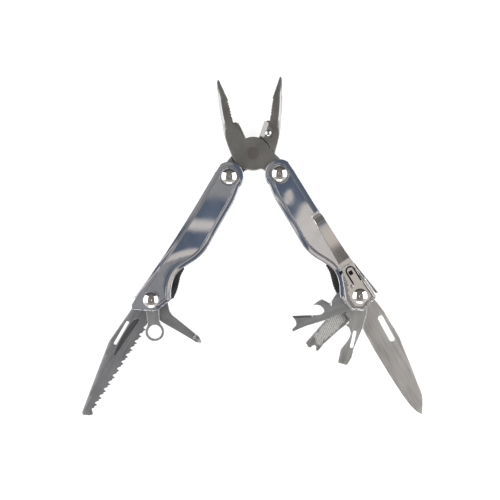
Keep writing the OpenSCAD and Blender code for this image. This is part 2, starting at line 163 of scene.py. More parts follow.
def beside(points, offset):
    """An open line moved to its left, by one distance or one for each point."""
    p = np.array(points, float)
    ahead = np.vstack([p[1:], p[-1:]]) - np.vstack([p[:1], p[:-1]])
    normal = np.stack([-ahead[:, 1], ahead[:, 0]], axis=1)
    normal /= np.linalg.norm(normal, axis=1)[:, None]
    return [tuple(q) for q in p + normal * np.broadcast_to(offset, len(p))[:, None]]


def ease(low, high, value):
    t = np.clip((value - low) / (high - low), 0, 1)
    return t * t * (3 - 2 * t)


# ---------- flat-plan solids ----------
def inside(points, loop):
    x, y = points[:, 0], points[:, 1]
    a = np.array(loop, float)
    b = np.roll(a, -1, axis=0)
    hit = np.zeros(len(points), bool)
    for (x0, y0), (x1, y1) in zip(a, b):
        if y0 != y1:
            crosses = (y0 > y) != (y1 > y)
            hit ^= crosses & (x < (x1 - x0) * (y - y0) / (y1 - y0) + x0)
    return hit


def away(points, starts, ends):
    """Distance of each point from the nearest of the segments."""
    best = np.full(len(points), 1e9)
    for s, e in zip(starts, ends):
        d = e - s
        t = np.clip(((points - s) @ d) / max(d @ d, 1e-12), 0, 1)
        best = np.minimum(best, np.linalg.norm(points - s - t[:, None] * d, axis=1))
    return best


def from_line(x, y, line):
    """Distance of the points from an open line."""
    p = np.array(line, float)
    return away(np.stack([x, y], axis=1), p[:-1], p[1:])


def cover(loops, holes, extra):
    """Triangles over what lies in any of the loops and in none of the holes."""
    corners, edges = [], []
    for loop in [*loops, *holes]:
        first, count = len(corners), len(loop)
        corners += [Vector(p) for p in loop]
        edges += [(first + i, first + (i + 1) % count) for i in range(count)]
    corners += [Vector(p) for p in extra]
    made = delaunay_2d_cdt(corners, edges, [], 0, 1e-4)
    points = np.array([tuple(v) for v in made[0]])
    faces = np.array(made[2])
    middle = points[faces].mean(axis=1)
    keep = np.zeros(len(faces), bool)
    for loop in loops:
        keep |= inside(middle, loop)
    for hole in holes:
        keep &= ~inside(middle, hole)
    faces = faces[keep]
    a, b, c = (points[faces[:, i]] for i in range(3))
    turn = (b - a)[:, 0] * (c - a)[:, 1] - (b - a)[:, 1] * (c - a)[:, 0]
    faces[turn < 0] = faces[turn < 0][:, ::-1]
    used, faces = np.unique(faces, return_inverse=True)
    return points[used], faces.reshape(-1, 3)


def rim_of(faces):
    pairs = [tuple(p) for p in faces[:, [0, 1, 1, 2, 2, 0]].reshape(-1, 2).tolist()]
    known = set(pairs)
    return np.array([p for p in pairs if (p[1], p[0]) not in known])


def rings(starts, ends, steps, gap):
    """Points at fixed distances inside the rim, and in its corners."""
    found, wanted = [], []
    following = {tuple(np.round(s, 5)): i for i, s in enumerate(starts)}
    normals = np.stack([-(ends - starts)[:, 1], (ends - starts)[:, 0]], axis=1)
    lengths = np.linalg.norm(normals, axis=1)
    normals /= np.maximum(lengths, 1e-9)[:, None]
    for i, (s, e) in enumerate(zip(starts, ends)):
        count = max(1, round(lengths[i] / gap))
        after = following.get(tuple(np.round(e, 5)))
        both = None if after is None else normals[i] + normals[after]
        for step in steps:
            for k in range(count):
                found.append(s + (e - s) * (k + 0.5) / count + normals[i] * step)
                wanted.append(step)
            if both is not None and both @ both > 0.3:
                found.append(e + both * (2 * step / (both @ both)))
                wanted.append(step)
    found, wanted = np.array(found), np.array(wanted)
    return found[away(found, starts, ends) > wanted - 1e-3]


def solid(loops, top, bottom, holes=(), steps=(0.04, 0.14, 0.3), gap=0.9, grid=2.2, creases=()):
    """A closed mesh over a plan. top and bottom give its height from x, y and the rim distance d."""
    loops = [dense(loop, gap) for loop in loops]
    holes = [dense(hole, gap) for hole in holes]
    points, faces = cover(loops, holes, ())
    rim = rim_of(faces)
    starts, ends = points[rim[:, 0]], points[rim[:, 1]]
    low, high = points.min(axis=0), points.max(axis=0)
    xs, ys = np.meshgrid(np.arange(low[0], high[0], grid), np.arange(low[1], high[1], grid * 0.9))
    xs = xs + (np.arange(len(xs)) % 2)[:, None] * grid / 2
    field = np.stack([xs.ravel(), ys.ravel()], axis=1)
    field = field[away(field, starts, ends) > max(steps) + grid * 0.3]
    extra = [rings(starts, ends, steps, gap), field]
    for line in creases:
        extra.append(np.array(dense(line, gap, closed=False)))
    if len(creases):
        folds = np.vstack(extra[2:])
        extra[1] = field[nearest(field, folds) > gap * 0.6]
        extra = [e[nearest(e, folds) > 0.12] if k == 0 else e for k, e in enumerate(extra)]
    points, faces = cover(loops, holes, np.vstack(extra))
    d = away(points, starts, ends)
    d[d < 1e-4] = 0
    x, y = points.T
    upper, lower = top(x, y, d), bottom(x, y, d)
    lower = np.minimum(lower, upper - 0.02)
    count = len(points)
    rim = rim_of(faces)
    verts = np.vstack([np.column_stack([x, y, upper]), np.column_stack([x, y, lower])])
    walls = [(int(j), int(i), int(i) + count, int(j) + count) for i, j in rim]
    return verts, faces.tolist() + (faces[:, ::-1] + count).tolist() + walls


def nearest(points, others):
    """Distance of each point from the nearest of the others."""
    best = np.full(len(points), 1e9)
    for q in others:
        best = np.minimum(best, np.linalg.norm(points - q, axis=1))
    return best


def softened(radius, d):
    """How far a rounded rim falls at distance d."""
    k = np.clip(d / radius, 0, 1)
    return radius * (1 - np.sqrt(np.maximum(1 - (1 - k) ** 2, 0)))


def level(z):
    """A face that is flat all over."""
    return lambda x, y, d: z + 0 * x


def slab(z, radius):
    """Top and bottom of a flat plate with rounded rims."""
    return (lambda x, y, d: z[1] - softened(radius, d)), (lambda x, y, d: z[0] + softened(radius, d))


def lathe(profile, centre=(0, 0), steps=64):
    """A closed turned shape. The profile runs from one pole to the other as (radius, height)."""
    verts, faces = [], []
    inner = profile[1:-1]
    verts.append((centre[0], centre[1], profile[0][1]))
    for r, z in inner:
        for k in range(steps):
            t = 2 * math.pi * k / steps
            verts.append((centre[0] + r * math.cos(t), centre[1] + r * math.sin(t), z))
    verts.append((centre[0], centre[1], profile[-1][1]))
    last = len(verts) - 1
    for k in range(steps):
        n = (k + 1) % steps
        faces.append((0, 1 + k, 1 + n))
        for row in range(len(inner) - 1):
            a, b = 1 + row * steps, 1 + (row + 1) * steps
            faces.append((a + k, b + k, b + n, a + n))
        faces.append((last - steps + k, last, last - steps + n))
    return np.array(verts), faces


def joined(*meshes):
    verts, faces = [], []
    for v, f in meshes:
        first = sum(len(x) for x in verts)
        verts.append(np.array(v, float))
        faces += [tuple(i + first for i in face) for face in f]
    return np.vstack(verts), faces


def set_piece(name, mesh, place, body, stands_for, slot, finish, crease=38, **shares):
    """Makes the object of a mesh drawn in millimetres in its own frame, and lets it ride on its body.

    finish is a material maker with its values. shares may hold wear, ground and sunk: functions that give
    the share of rubbed rim, of ground facet or edge (on the jaws' facets also a painted highlight) and of
    painted shade in recesses and under parts at each vertex."""
    matrix, flip = place
    verts, faces = mesh
    data = bpy.data.meshes.new(name)
    data.from_pydata(np.array(verts, float).tolist(), [], [tuple(int(i) for i in f) for f in faces])
    data.validate()
    turn_outwards(data)
    count = len(data.vertices)
    local = np.empty(count * 3)
    data.vertices.foreach_get("co", local)
    for label in ("wear", "ground", "sunk"):
        layer = data.attributes.new(label, "FLOAT", "POINT")
        if shares.get(label):
            layer.data.foreach_set("value", np.asarray(shares[label](local.reshape(-1, 3)), np.float32))
    data.transform(matrix @ Matrix.Diagonal((MM, MM * flip, MM, 1)))
    if flip < 0:
        data.flip_normals()
    data.polygons.foreach_set("use_smooth", [True] * len(data.polygons))
    data.set_sharp_from_angle(angle=math.radians(crease))
    data.materials.append(finish[0](name + "_metal", place, **finish[1]))
    piece = bpy.data.objects.new(name, data)
    bpy.context.scene.collection.objects.link(piece)
    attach(piece, body)
    if stands_for:
        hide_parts(*stands_for)
    return piece


def turn_outwards(data):
    work = bmesh.new()
    work.from_mesh(data)
    bmesh.ops.remove_doubles(work, verts=work.verts, dist=2e-4)
    bmesh.ops.recalc_face_normals(work, faces=work.faces)
    work.to_mesh(data)
    work.free()


# ---------- materials ----------
class Nodes:
    """A short way to write a material's nodes."""

    def __init__(self, tree):
        self.tree = tree

    def add(self, kind, links=None, **values):
        node = self.tree.nodes.new(kind)
        for key, value in values.items():
            setattr(node, key, value)
        for key, source in (links or {}).items():
            socket = node.inputs[key]
            if isinstance(source, bpy.types.NodeSocket):
                self.tree.links.new(source, socket)
            else:
                socket.default_value = source
        return node

    def link(self, source, socket):
        self.tree.links.new(source, socket)

    def stored(self, label):
        return self.add("ShaderNodeAttribute", attribute_name=label).outputs["Fac"]

    def noise(self, vector, scale, detail=3.0, roughness=0.55):
        return self.add("ShaderNodeTexNoise", {"Vector": vector, "Scale": scale, "Detail": detail,
                                               "Roughness": roughness}).outputs["Fac"]

    def stretch(self, vector, scale, turn=0.0):
        return self.add("ShaderNodeMapping", {"Vector": vector, "Scale": scale,
                                              "Rotation": (0, 0, math.radians(turn))}).outputs[0]

    def span(self, value, low, high, start=0.3, end=0.7):
        return self.add("ShaderNodeMapRange", {"Value": value, "From Min": start, "From Max": end,
                                               "To Min": low, "To Max": high}).outputs[0]

    def ramp(self, value, stops):
        node = self.add("ShaderNodeValToRGB", {"Fac": value})
        bar = node.color_ramp
        while len(bar.elements) < len(stops):
            bar.elements.new(0.5)
        for element, (at, colour) in zip(bar.elements, stops):
            element.position = at
            element.color = (*colour, 1)
        return node.outputs[0]

    def math(self, kind, a, b):
        return self.add("ShaderNodeMath", {0: a, 1: b}, operation=kind).outputs[0]

    def blend(self, share, a, b, kind="MIX"):
        node = self.add("ShaderNodeMix", data_type="RGBA", blend_type=kind)
        for index, source in ((0, share), (6, a), (7, b)):
            if isinstance(source, bpy.types.NodeSocket):
                self.tree.links.new(source, node.inputs[index])
            else:
                node.inputs[index].default_value = source if index == 0 else (*source, 1)
        return node.outputs[2]

    def bump(self, height, distance, strength=1.0, normal=None):
        links = {"Height": height, "Distance": distance, "Strength": strength}
        if normal is not None:
            links["Normal"] = normal
        return self.add("ShaderNodeBump", links).outputs[0]


def shaded(name, place=None, metallic=1.0):
    """A new material, its nodes, its shader, and the point in the frame of the piece in metres."""
    material = bpy.data.materials.new(name)
    material.use_nodes = True
    nodes = Nodes(material.node_tree)
    shader = material.node_tree.nodes["Principled BSDF"]
    shader.inputs["Metallic"].default_value = metallic
    spot = nodes.add("ShaderNodeTexCoord").outputs["Object"]
    if place is not None:
        matrix, flip = place
        frame_of = {"Vector": spot, "Location": matrix.to_translation(), "Rotation": matrix.to_euler(),
                    "Scale": (1, flip, 1)}
        spot = nodes.add("ShaderNodeMapping", frame_of, vector_type="TEXTURE").outputs[0]
    return material, nodes, shader, spot


def finished(material, colour, roughness, normal):
    """The material with its shader's three inputs joined."""
    inputs = material.node_tree.nodes["Principled BSDF"].inputs
    for label, source in (("Base Color", colour), ("Roughness", roughness), ("Normal", normal)):
        material.node_tree.links.new(source, inputs[label])
    return material


def shade(colour, factor):
    return tuple(min(1.0, c * factor) for c in colour)


def polished(name, place, colour, wave=0.00003, wave_scale=38, rough=(0.03, 0.07)):
    """Buffed stainless sheet: long shallow waves, hairlines and faint smudges."""
    material, n, _, spot = shaded(name, place)
    smudge = n.noise(spot, 90, 4)
    hair = n.noise(n.stretch(spot, (90, 2600, 90), 8), 1.0, 2)
    tone = n.ramp(smudge, [(0.3, shade(colour, 0.88)), (0.55, colour), (0.8, shade(colour, 1.07))])
    tone = n.blend(n.span(hair, 0.0, 0.16, 0.55, 0.8), tone, shade(colour, 0.72))
    # sunk carries painted shade: the sheet is darkened almost to black where a part lies over it
    sunk = n.stored("sunk")
    tone = n.blend(sunk, tone, (0.03, 0.028, 0.026))
    grain = n.math("ADD", n.span(smudge, *rough), n.math("MULTIPLY", sunk, 0.45))
    grain = n.math("ADD", grain, n.span(hair, 0.0, 0.012, 0.5, 0.8))
    waves = n.noise(n.stretch(spot, (1.0, 1.6, 1.0)), wave_scale, 1.0, 0.3)
    return finished(material, tone, grain, n.bump(hair, 0.0000008, 0.6, n.bump(waves, wave)))


def brushed(name, place, colour, turn=0.0, across=1500, rough=(0.26, 0.42), depth=0.00003, patch=0.16):
    """Ground or satin steel with brush lines along X, turned by an angle, and rubbed bright rims."""
    material, n, _, spot = shaded(name, place)
    lines = n.noise(n.stretch(spot, (70, across, 70), turn), 1.0, 4, 0.62)
    broad = n.noise(n.stretch(spot, (22, 260, 22), turn), 1.0, 3)
    cloud = n.noise(spot, 60, 3)
    tone = n.ramp(lines, [(0.25, shade(colour, 0.80)), (0.5, colour), (0.78, shade(colour, 1.16))])
    tone = n.blend(n.span(broad, 0.0, 0.30), tone, shade(colour, 0.84))
    tone = n.blend(n.span(cloud, 0.0, patch), tone, shade(colour, 1.2))
    chips = n.math("MULTIPLY", n.stored("wear"), n.span(n.noise(spot, 700, 3), 0.35, 1.0, 0.35, 0.6))
    chips = n.math("MAXIMUM", chips, n.stored("ground"))
    tone = n.blend(chips, tone, (0.66, 0.66, 0.65))
    # sunk carries painted shade: recesses are darkened almost to black
    tone = n.blend(n.stored("sunk"), tone, (0.05, 0.05, 0.05))
    grain = n.math("ADD", n.span(lines, *rough), n.span(cloud, 0.0, 0.07))
    grain = n.math("SUBTRACT", grain, n.math("MULTIPLY", chips, 0.12))
    return finished(material, tone, grain, n.bump(lines, depth, 0.7, n.bump(broad, depth * 2, 0.5)))


def forged(name, place, colour):
    """Tumbled satin jaws with a fine pebbled skin, turned rings round the pivot and rubbed rims."""
    material, n, _, spot = shaded(name, place)
    pebble = n.noise(spot, 1500, 3)
    cloud = n.noise(spot, 75, 4)
    tone = n.ramp(cloud, [(0.3, shade(colour, 0.86)), (0.55, colour), (0.8, shade(colour, 1.12))])
    tone = n.blend(n.span(pebble, 0.0, 0.25), tone, shade(colour, 0.75))
    chips = n.math("MULTIPLY", n.stored("wear"), n.span(n.noise(spot, 500, 3), 0.3, 1.0, 0.35, 0.6))
    tone = n.blend(chips, tone, (0.50, 0.49, 0.47))
    # ground lightens the jaws' facets: partly a ground finish, partly a painted highlight
    ground_and_highlit_facet = n.stored("ground")
    tone = n.blend(ground_and_highlit_facet, tone, (0.60, 0.60, 0.60))
    chips = n.math("MAXIMUM", chips, ground_and_highlit_facet)
    grain = n.math("ADD", n.span(pebble, 0.36, 0.46), n.span(cloud, -0.03, 0.05))
    grain = n.math("SUBTRACT", grain, n.math("MULTIPLY", chips, 0.14))
    flat = n.stretch(spot, (1, 1, 0))
    radius = n.add("ShaderNodeVectorMath", {0: flat}, operation="LENGTH").outputs["Value"]
    ring_pitch = 0.00055
    rings = n.math("SINE", n.math("MULTIPLY", radius, 2 * math.pi / ring_pitch), 0.0)
    near = n.span(radius, 1.0, 0.0, 0.0098, 0.0101)
    normal = n.bump(n.math("MULTIPLY", rings, near), 0.000006, 0.7)
    return finished(material, tone, grain, n.bump(pebble, 0.00002, 0.6, normal))


def nylon(name, place):
    """Black moulded grip: fine spark texture, dusty ridges and scuffs."""
    material, n, _, spot = shaded(name, place, metallic=0.0)
    spark = n.noise(spot, 1800, 3)
    dust = n.noise(spot, 160, 4)
    tone = n.ramp(dust, [(0.35, (0.012, 0.012, 0.013)), (0.7, (0.03, 0.03, 0.031))])
    scuff = n.noise(n.stretch(spot, (300, 2200, 300), 30), 1.0, 2)
    tone = n.blend(n.span(scuff, 0.0, 0.35, 0.66, 0.78), tone, (0.09, 0.09, 0.09))
    return finished(material, tone, n.span(dust, 0.48, 0.66), n.bump(spark, 0.00003, 0.6))


PLATE = (polished, {"colour": (0.60, 0.61, 0.63), "wave": 0.00001, "rough": (0.012, 0.03)})
RIVET = (polished, {"colour": (0.74, 0.72, 0.69), "wave": 0.00001, "wave_scale": 260,
                    "rough": (0.04, 0.10)})
CLIP = (polished, {"colour": (0.62, 0.61, 0.59), "wave": 0.00004, "wave_scale": 45, "rough": (0.08, 0.17)})
LEVER = (polished, {"colour": (0.50, 0.50, 0.50), "wave": 0.00002, "wave_scale": 80, "rough": (0.2, 0.32)})
JAW = (forged, {"colour": (0.255, 0.248, 0.232)})
PIVOT_FACE = (forged, {"colour": (0.215, 0.198, 0.19)})
CUTTER = (brushed, {"colour": (0.30, 0.295, 0.29), "turn": 90, "rough": (0.34, 0.46)})
KNIFE = (brushed, {"colour": (0.60, 0.585, 0.56), "turn": 6, "across": 1300, "rough": (0.30, 0.42)})
SAW = (brushed, {"colour": (0.27, 0.27, 0.28), "turn": 0, "rough": (0.34, 0.48)})
TOOL = (brushed, {"colour": (0.47, 0.465, 0.45), "turn": 4, "rough": (0.30, 0.44)})
RING = (brushed, {"colour": (0.38, 0.38, 0.385), "turn": 4, "rough": (0.30, 0.44)})
DARK_TOOL = (brushed, {"colour": (0.29, 0.29, 0.295), "turn": 4, "rough": (0.30, 0.44)})
FILE = (brushed, {"colour": (0.37, 0.365, 0.355), "turn": 4, "rough": (0.32, 0.46)})
OPENER = (brushed, {"colour": (0.38, 0.39, 0.385), "turn": 10, "rough": (0.24, 0.40)})
INNER = (brushed, {"colour": (0.45, 0.45, 0.45), "turn": 0, "rough": (0.32, 0.5)})
GRIP = (nylon, {})


def near_rim(line, reach):
    """Share of rim wear at each vertex, high close to an open line."""
    def share(verts):
        return np.clip(1.15 - from_line(verts[:, 0], verts[:, 1], line) / reach, 0, 1) * 0.45
    return share


# ---------- handles ----------
PLATE_IN, PLATE_OUT = 5.6, 6.8
TOP_RADIUS = 8.7
SHANK = 2.5
EYE_GAP = 0.05
INNER_EDGE = [(2, 8.5), (10, 10.0), (20, 10.5), (32, 11.0), (41, 11.5), (47, 11.2), (53, 9.6),
              (59, 6.8), (64.2, 4.9), (69.5, 4.8), (75, 6.6), (80, 9.5)]
OUTER_EDGE = [(3, -8.3), (14, -8.0), (30, -7.6), (55, -7.6), (75, -8.2), (88, -8.6)]
HANDLE_END = {
    "left": [(95.8, -8.3), (98, -7), (98, -6.2), (92, 5.2), (90.4, 6.8), (82.5, 9.6)],
    "right": [(92.4, -8.4), (93.4, -7.6), (96.1, 2.4), (95.8, 3.4), (91.8, 8.6), (90.6, 9.2), (82, 10.2)],
}


def handle_loop(side):
    inner = smooth(INNER_EDGE, 8)[::-1]
    outer = smooth(OUTER_EDGE, 5)
    return outer + HANDLE_END[side] + inner + arc((0, 0), TOP_RADIUS, 92, 250, 26)


def plate_face(side):
    """Outer face of a plate: rounded rim, raised border, then a shallow dished panel."""
    def height(x, y, d):
        fade = 1 - ease(44, 74, x) * ease(6.5, -8, y) if side == "left" else 1 - 0.6 * ease(66, 88, x)
        fade = fade * (1 - ease(84, 92, x))
        bead = 0.05 * np.exp(-((d - 2.55) / 0.25) ** 2)
        rolled = 0.03 * ease(1.9, 0, d) + 0.06 * ease(4.5, 0, d) * ease(46, 62, x) * ease(-4, 3, y)
        dish = 0.07 * ease(2.95, 3.25, d)
        return PLATE_OUT - 0.02 - softened(0.28, d) - rolled + (bead - 0.05 - dish) * fade
    return height


def plate(side, front):
    loop = handle_loop(side)
    shank = [circle((0, 0), SHANK), circle((REACH, 0), SHANK)]
    steps = (0.04, 0.13, 0.28, 0.5, 0.9, 1.4, 1.9, 2.15, 2.4, 2.55, 2.7, 2.93, 3.0, 3.1, 3.2, 3.27,
             3.5, 4.5)
    mesh = solid([loop], plate_face(side), level(PLATE_IN), shank, steps, gap=1.0, grid=2.4)
    if front:
        return joined(mesh, flange())
    verts, faces = mesh
    return verts * (1, 1, -1), faces


FLANGE_END = 4.0


def flange():
    """Folded wall under the front plate, along the outer edge, round the top and down the inner edge."""
    outer = [p for p in smooth(OUTER_EDGE, 5) if p[0] < 66][::-1]
    inner = [p for p in smooth(INNER_EDGE, 8) if p[0] < 44]
    path = outer + arc((0, 0), TOP_RADIUS, 250, 92, 26) + inner
    loop = beside(path, -0.05) + beside(path, -0.75)[::-1]
    folded_to = lambda x, y, d: FLANGE_END + softened(0.2, d)
    return solid([loop], level(PLATE_IN + 0.3), folded_to, steps=(0.05, 0.2), gap=1.2, grid=3)


def cap(base, radius, height):
    """A spherical cap over its base: height by radius."""
    ball = (radius ** 2 + height ** 2) / (2 * height)
    return lambda r: base + math.sqrt(ball ** 2 - r ** 2) - (ball - height)


def dome(base, radius, height, skirt, sign=1):
    """Half of a rivet's profile, from its pole to its skirt, with the small peening dimple."""
    rise = cap(base, radius, height)
    rows = [(0, rise(0) - 0.22), (0.35, rise(0) - 0.20), (0.62, rise(0.62) - 0.09), (0.85, rise(0.85))]
    rows += [(radius * k, rise(radius * k)) for k in np.linspace(0.25, 0.97, 12)]
    rows += [(radius, rise(radius) - 0.02), (radius + 0.02, base - 0.12), (radius - 0.05, base - skirt)]
    return [(r, sign * z) for r, z in rows]


def rivet(centre, front_base, front_skirt=0.62):
    front = dome(front_base, 4.6, 1.6, front_skirt)
    back = dome(PLATE_OUT, 4.6, 1.6, 0.62, -1)
    return lathe(front + [(SHANK, front[-1][1]), (SHANK, back[-1][1])] + back[::-1], centre)


CREST = [(61, 6.5), (66, 6.9), (70.5, 8.4), (75, 9.8), (80, 10.5)]


def grip(z):
    """Black insert whose crest is cut into shallow ridges."""
    crest = dense(smooth(CREST, 8), 0.22, closed=False)
    run = np.cumsum([0] + [math.dist(a, b) for a, b in zip(crest, crest[1:])])
    ridge = 0.42 * np.abs(np.sin(math.pi * run / run[-1] * 12)) ** 0.6
    loop = [(61, 2.2), (68.5, -3.9), (78, -6.1), (91, -6.1), (92.5, -2), (88, 6.4), (81.5, 9.6)]
    loop += beside(crest, ridge - 0.05)[::-1]
    top, bottom = slab(z, 0.3)
    return solid([loop], top, bottom, [circle((REACH, 0), SHANK)], gap=0.8)


def laid(x, y, at, degrees):
    """A point turned about the origin and then moved to its place."""
    c, s = math.cos(math.radians(degrees)), math.sin(math.radians(degrees))
    return at[0] + c * x - s * y, at[1] + s * x + c * y


def lever(z, out):
    """Lock lever: an eye on the cross pin and a flat spring bar with a round end."""
    hinge, boss, bar, length = (70.5, -6.9), 1.5, 1.4, 21
    outline = (arc((0, 0), boss, 20, 270, 18) + [(3, -boss), (length - 1, -boss)]
               + arc((length, -boss + bar / 2), bar / 2, -90, 90, 8) + [(2.2, -boss + bar), (1.5, 0.1)])
    top, bottom = slab(z, 0.28)
    verts, faces = solid([outline], top, bottom, [circle((0, 0), 0.85, 20)], gap=0.7, grid=1.2)
    verts[:, 0], verts[:, 1] = laid(verts[:, 0], verts[:, 1], hinge, -out)
    return verts, faces


def painted_shade_under_clip(verts):
    """Painted shade: one on the sheet where the clip's base covers it, darkening the plate seen through the
    clip's slots.
    """
    x, y, z = verts.T
    return ((x > 68.5) & (x < 80) & (y < 3) & (z > PLATE_IN + 0.5)).astype(float)


def build_handles():
    grip_z = {"left": (-2.7, -1.15), "right": (-0.95, 1.25)}
    lever_out = {"left": 2.5, "right": 6}
    for side in ("left", "right"):
        place, body = handle_frame(side), side + "_handle"
        for front in (True, False):
            node = f"{side}_{'front' if front else 'rear'}_plate"
            # the right front sheet gets painted shade where the clip's base lies over it
            shade_under_clip = painted_shade_under_clip if side == "right" and front else None
            set_piece(node + "_sheet", plate(side, front), place, body, [node], "polished_plate", PLATE,
                      sunk=shade_under_clip)
        set_piece(side + "_handle_rivet_domed", rivet((0, 0), PLATE_OUT), place, body,
                  [side + "_handle_rivet"], "rivet_steel", RIVET)
        base, skirt = (PLATE_OUT + CLIP_T, 0.1) if side == "right" else (PLATE_OUT, 0.62)
        set_piece(side + "_tool_rivet_domed", rivet((REACH, 0), base, skirt), place, body,
                  [side + "_tool_rivet"], "rivet_steel", RIVET)
        set_piece(side + "_grip_ridged", grip(grip_z[side]), place, body,
                  [side + "_grip_insert"], "grip_plastic", GRIP)
        set_piece(side + "_lock_lever_bar", lever((-2.4, 2.4), lever_out[side]), place,
                  side + "_lock_lever", [side + "_lock_lever"], "clip_steel", LEVER)


# ---------- pocket clip ----------
CLIP_T = 0.9
CLIP_AT = (REACH, -2.85)
CLIP_LEAN = 2.0
CLIP_BEND = -20
CLIP_BASE = [(70.5, 2.2), (79.1, 5.8), (84.6, 8.4), (91.2, 8.3), (95.5, 2.5), (92.9, -7.3),
             (91.8, -8.0), (74, -7.6), (70.5, -7.0)]
ARM_SIDE = [(0, 0), (-2.4, 0), (-3.2, 0.05), (-8, 0.42), (-15, 0.92), (-23, 1.25), (-29.8, 1.25),
            (-31.2, 0.85), (-33, 0.28), (-34.2, 0.25), (-35.4, 0.7), (-36.5, 1.5)]
ARM_PLAN = [(0, -4.2), (0, 4.2), (-5, 3.9), (-14, 3.5), (-34, 3), (-36.5, 2.9), (-36.5, -2.9),
            (-34, -3), (-14, -3.5), (-5, -3.9)]


def on_clip(points):
    """Clip coordinates to handle coordinates."""
    return [laid(x, y, CLIP_AT, CLIP_LEAN) for x, y in points]


def rectangle(xs, ys):
    return [(xs[0], ys[0]), (xs[1], ys[0]), (xs[1], ys[1]), (xs[0], ys[1])]


def seam(x, y):
    """Nought beside the line where the arm leaves the base, so that the two meet flush."""
    lean = math.radians(CLIP_LEAN)
    along = (x - CLIP_AT[0]) * math.cos(lean) + (y - CLIP_AT[1]) * math.sin(lean)
    return ease(0.25, 0.6, np.abs(along - CLIP_BEND))


def clip_base():
    """Full-width base with the tongue's U-shaped slot, a square hole and two pressed tabs."""
    strip = on_clip([(CLIP_BEND, -4.2), (CLIP_BEND, 4.2), (-14, 4.6), (-14, -3.6)][::-1])
    bend = (-15.8, 0)
    slot = (arc(bend, 2.9, 90, 270, 16) + [(-7.8, -2.9), (-7.8, -2.2)]
            + arc(bend, 2.2, 270, 90, 16) + [(-7.8, 2.2), (-7.8, 2.9)])
    square = rectangle((-15.9, -13.5), (-0.7, 1.5))
    base = rounded(CLIP_BASE, 0.8)
    face, sunk = PLATE_OUT + CLIP_T, PLATE_OUT + 0.5

    def top(x, y, d):
        lip = 0.09 * ease(1.3, 1.05, from_line(x, y, base + base[:1])) * ease(71, 73, x)
        pressed = inside(np.stack([x, y], axis=1), on_clip(rectangle((-20, -7), (-3.4, 3.4))))
        rim = np.where(pressed, softened(0.08, d), softened(0.25, d) * seam(x, y))
        return face - rim - lip

    plate_mesh = solid([base, strip], top, level(PLATE_OUT),
                       [on_clip(slot), on_clip(square), circle((REACH, 0), SHANK)],
                       steps=(0.04, 0.12, 0.25, 0.36, 1.02, 1.12, 1.22, 1.34), gap=0.7, grid=1.8)
    tabs = []
    for y in (-4.1, 4.1):
        loop = rounded(on_clip(rectangle((-8.4, -6.2), (y - 0.9, y + 0.9))), 0.3)
        tabs.append(solid([loop], lambda x, y, d: face + 0.42 - softened(0.25, d), level(sunk), gap=0.4,
                          grid=0.8))
    pin = lathe([(0, face + 0.16), (0.35, face + 0.14), (0.55, face - 0.1), (0.55, sunk), (0, sunk)],
                (70.6, 1.2), 20)
    return joined(plate_mesh, *tabs, pin)


def clip_arm():
    """Sprung strip that rises from the base and dips to a curled lip."""
    side = np.array(smooth(ARM_SIDE, 8))[::-1]
    rise = lambda x: np.interp(x, side[:, 0], side[:, 1])
    lift = lambda x: rise((x - CLIP_AT[0]) / math.cos(math.radians(CLIP_LEAN)) - CLIP_BEND)
    plan = on_clip([(x + CLIP_BEND, y) for x, y in ARM_PLAN])[::-1]
    top = lambda x, y, d: PLATE_OUT + CLIP_T + lift(x) - softened(0.25, d) * seam(x, y)
    bottom = lambda x, y, d: PLATE_OUT + lift(x) + softened(0.2, d)
    stops = [-2.4, -2.8, -3.3, -4, -6, -10, -15, -20, -25, *np.linspace(-29, -36.3, 18)]
    folds = [on_clip([(CLIP_BEND + x, -2.6), (CLIP_BEND + x, 2.6)]) for x in stops]
    return solid([plan], top, bottom, steps=(0.04, 0.12, 0.25, 0.36), gap=0.7, grid=1.6, creases=folds)


def build_clip():
    place = handle_frame("right")
    set_piece("clip_base_pressed", clip_base(), place, "right_handle", ["clip_base"], "clip_steel", CLIP)
    set_piece("clip_arm_sprung", clip_arm(), place, "clip_arm", ["clip_arm"], "clip_steel", CLIP)


# ---------- pliers ----------
BITE = 0.12
LOBE = 0.2
HEAD = 3.6
LAP = 0.05
DISC = 10
LAP_CLEAR = 10.5
TANG_CLEAR = 13.1
TANG_ANGLE = math.radians(27.5)
TANG_REACH = 20
TANG_END = (TANG_REACH * math.sin(TANG_ANGLE), -TANG_REACH * math.cos(TANG_ANGLE))
PIVOT_R = 3.7
NOSE_TOP = 49.4
NOSE_OUTER = [(-0.9, 49.2), (-1.8, 48.4), (-2.6, 46.6), (-3.9, 43), (-5.0, 39.6), (-6.4, 35.6),
              (-7.5, 31.8), (-8.6, 27.8), (-9.4, 24.2), (-10.4, 20.8), (-11.0, 17.8), (-11.5, 14.5),
              (-11.9, 10.5)]
SHOULDER = [(-12.1, 7), (-12.3, 2), (-11.6, -2), (-9.6, -5.4), (-6.5, -7.6), (-3, -9.54)]
CUTTER_PLAN = [(-0.12, 11.4), (-0.12, 20.9), (-2.2, 20.9), (-6.9, 17.6), (-7.6, 14.6),
               (-6.6, 11.9), (-4.4, 10.8)]
CUTTER_Z = (-2.6, 0.8)
SCREW_AT = (-4.7, 14.6)
NOSE_HALF = [(-30, HEAD), (16, HEAD), (20, 3.2), (27, 2.5), (40, 1.9), (NOSE_TOP + 1, 1.5)]


def teeth(a, b, count, height):
    a, b = np.array(a, float), np.array(b, float)
    d = (b - a) / count
    side = np.array([-d[1], d[0]]) / np.linalg.norm(d) * height
    found = []
    for i in range(count):
        found += [tuple(a + d * i), tuple(a + d * (i + 0.5) + side)]
    return found


def lobe_line(start):
    """The cutter lobe's inner side, from a height beside the pivot to its round top."""
    return [(-LOBE, start), *smooth([(-LOBE, 17), (-0.7, 19.6), (-1.5, 21.2), (-2.2, 21.75)], 4)]


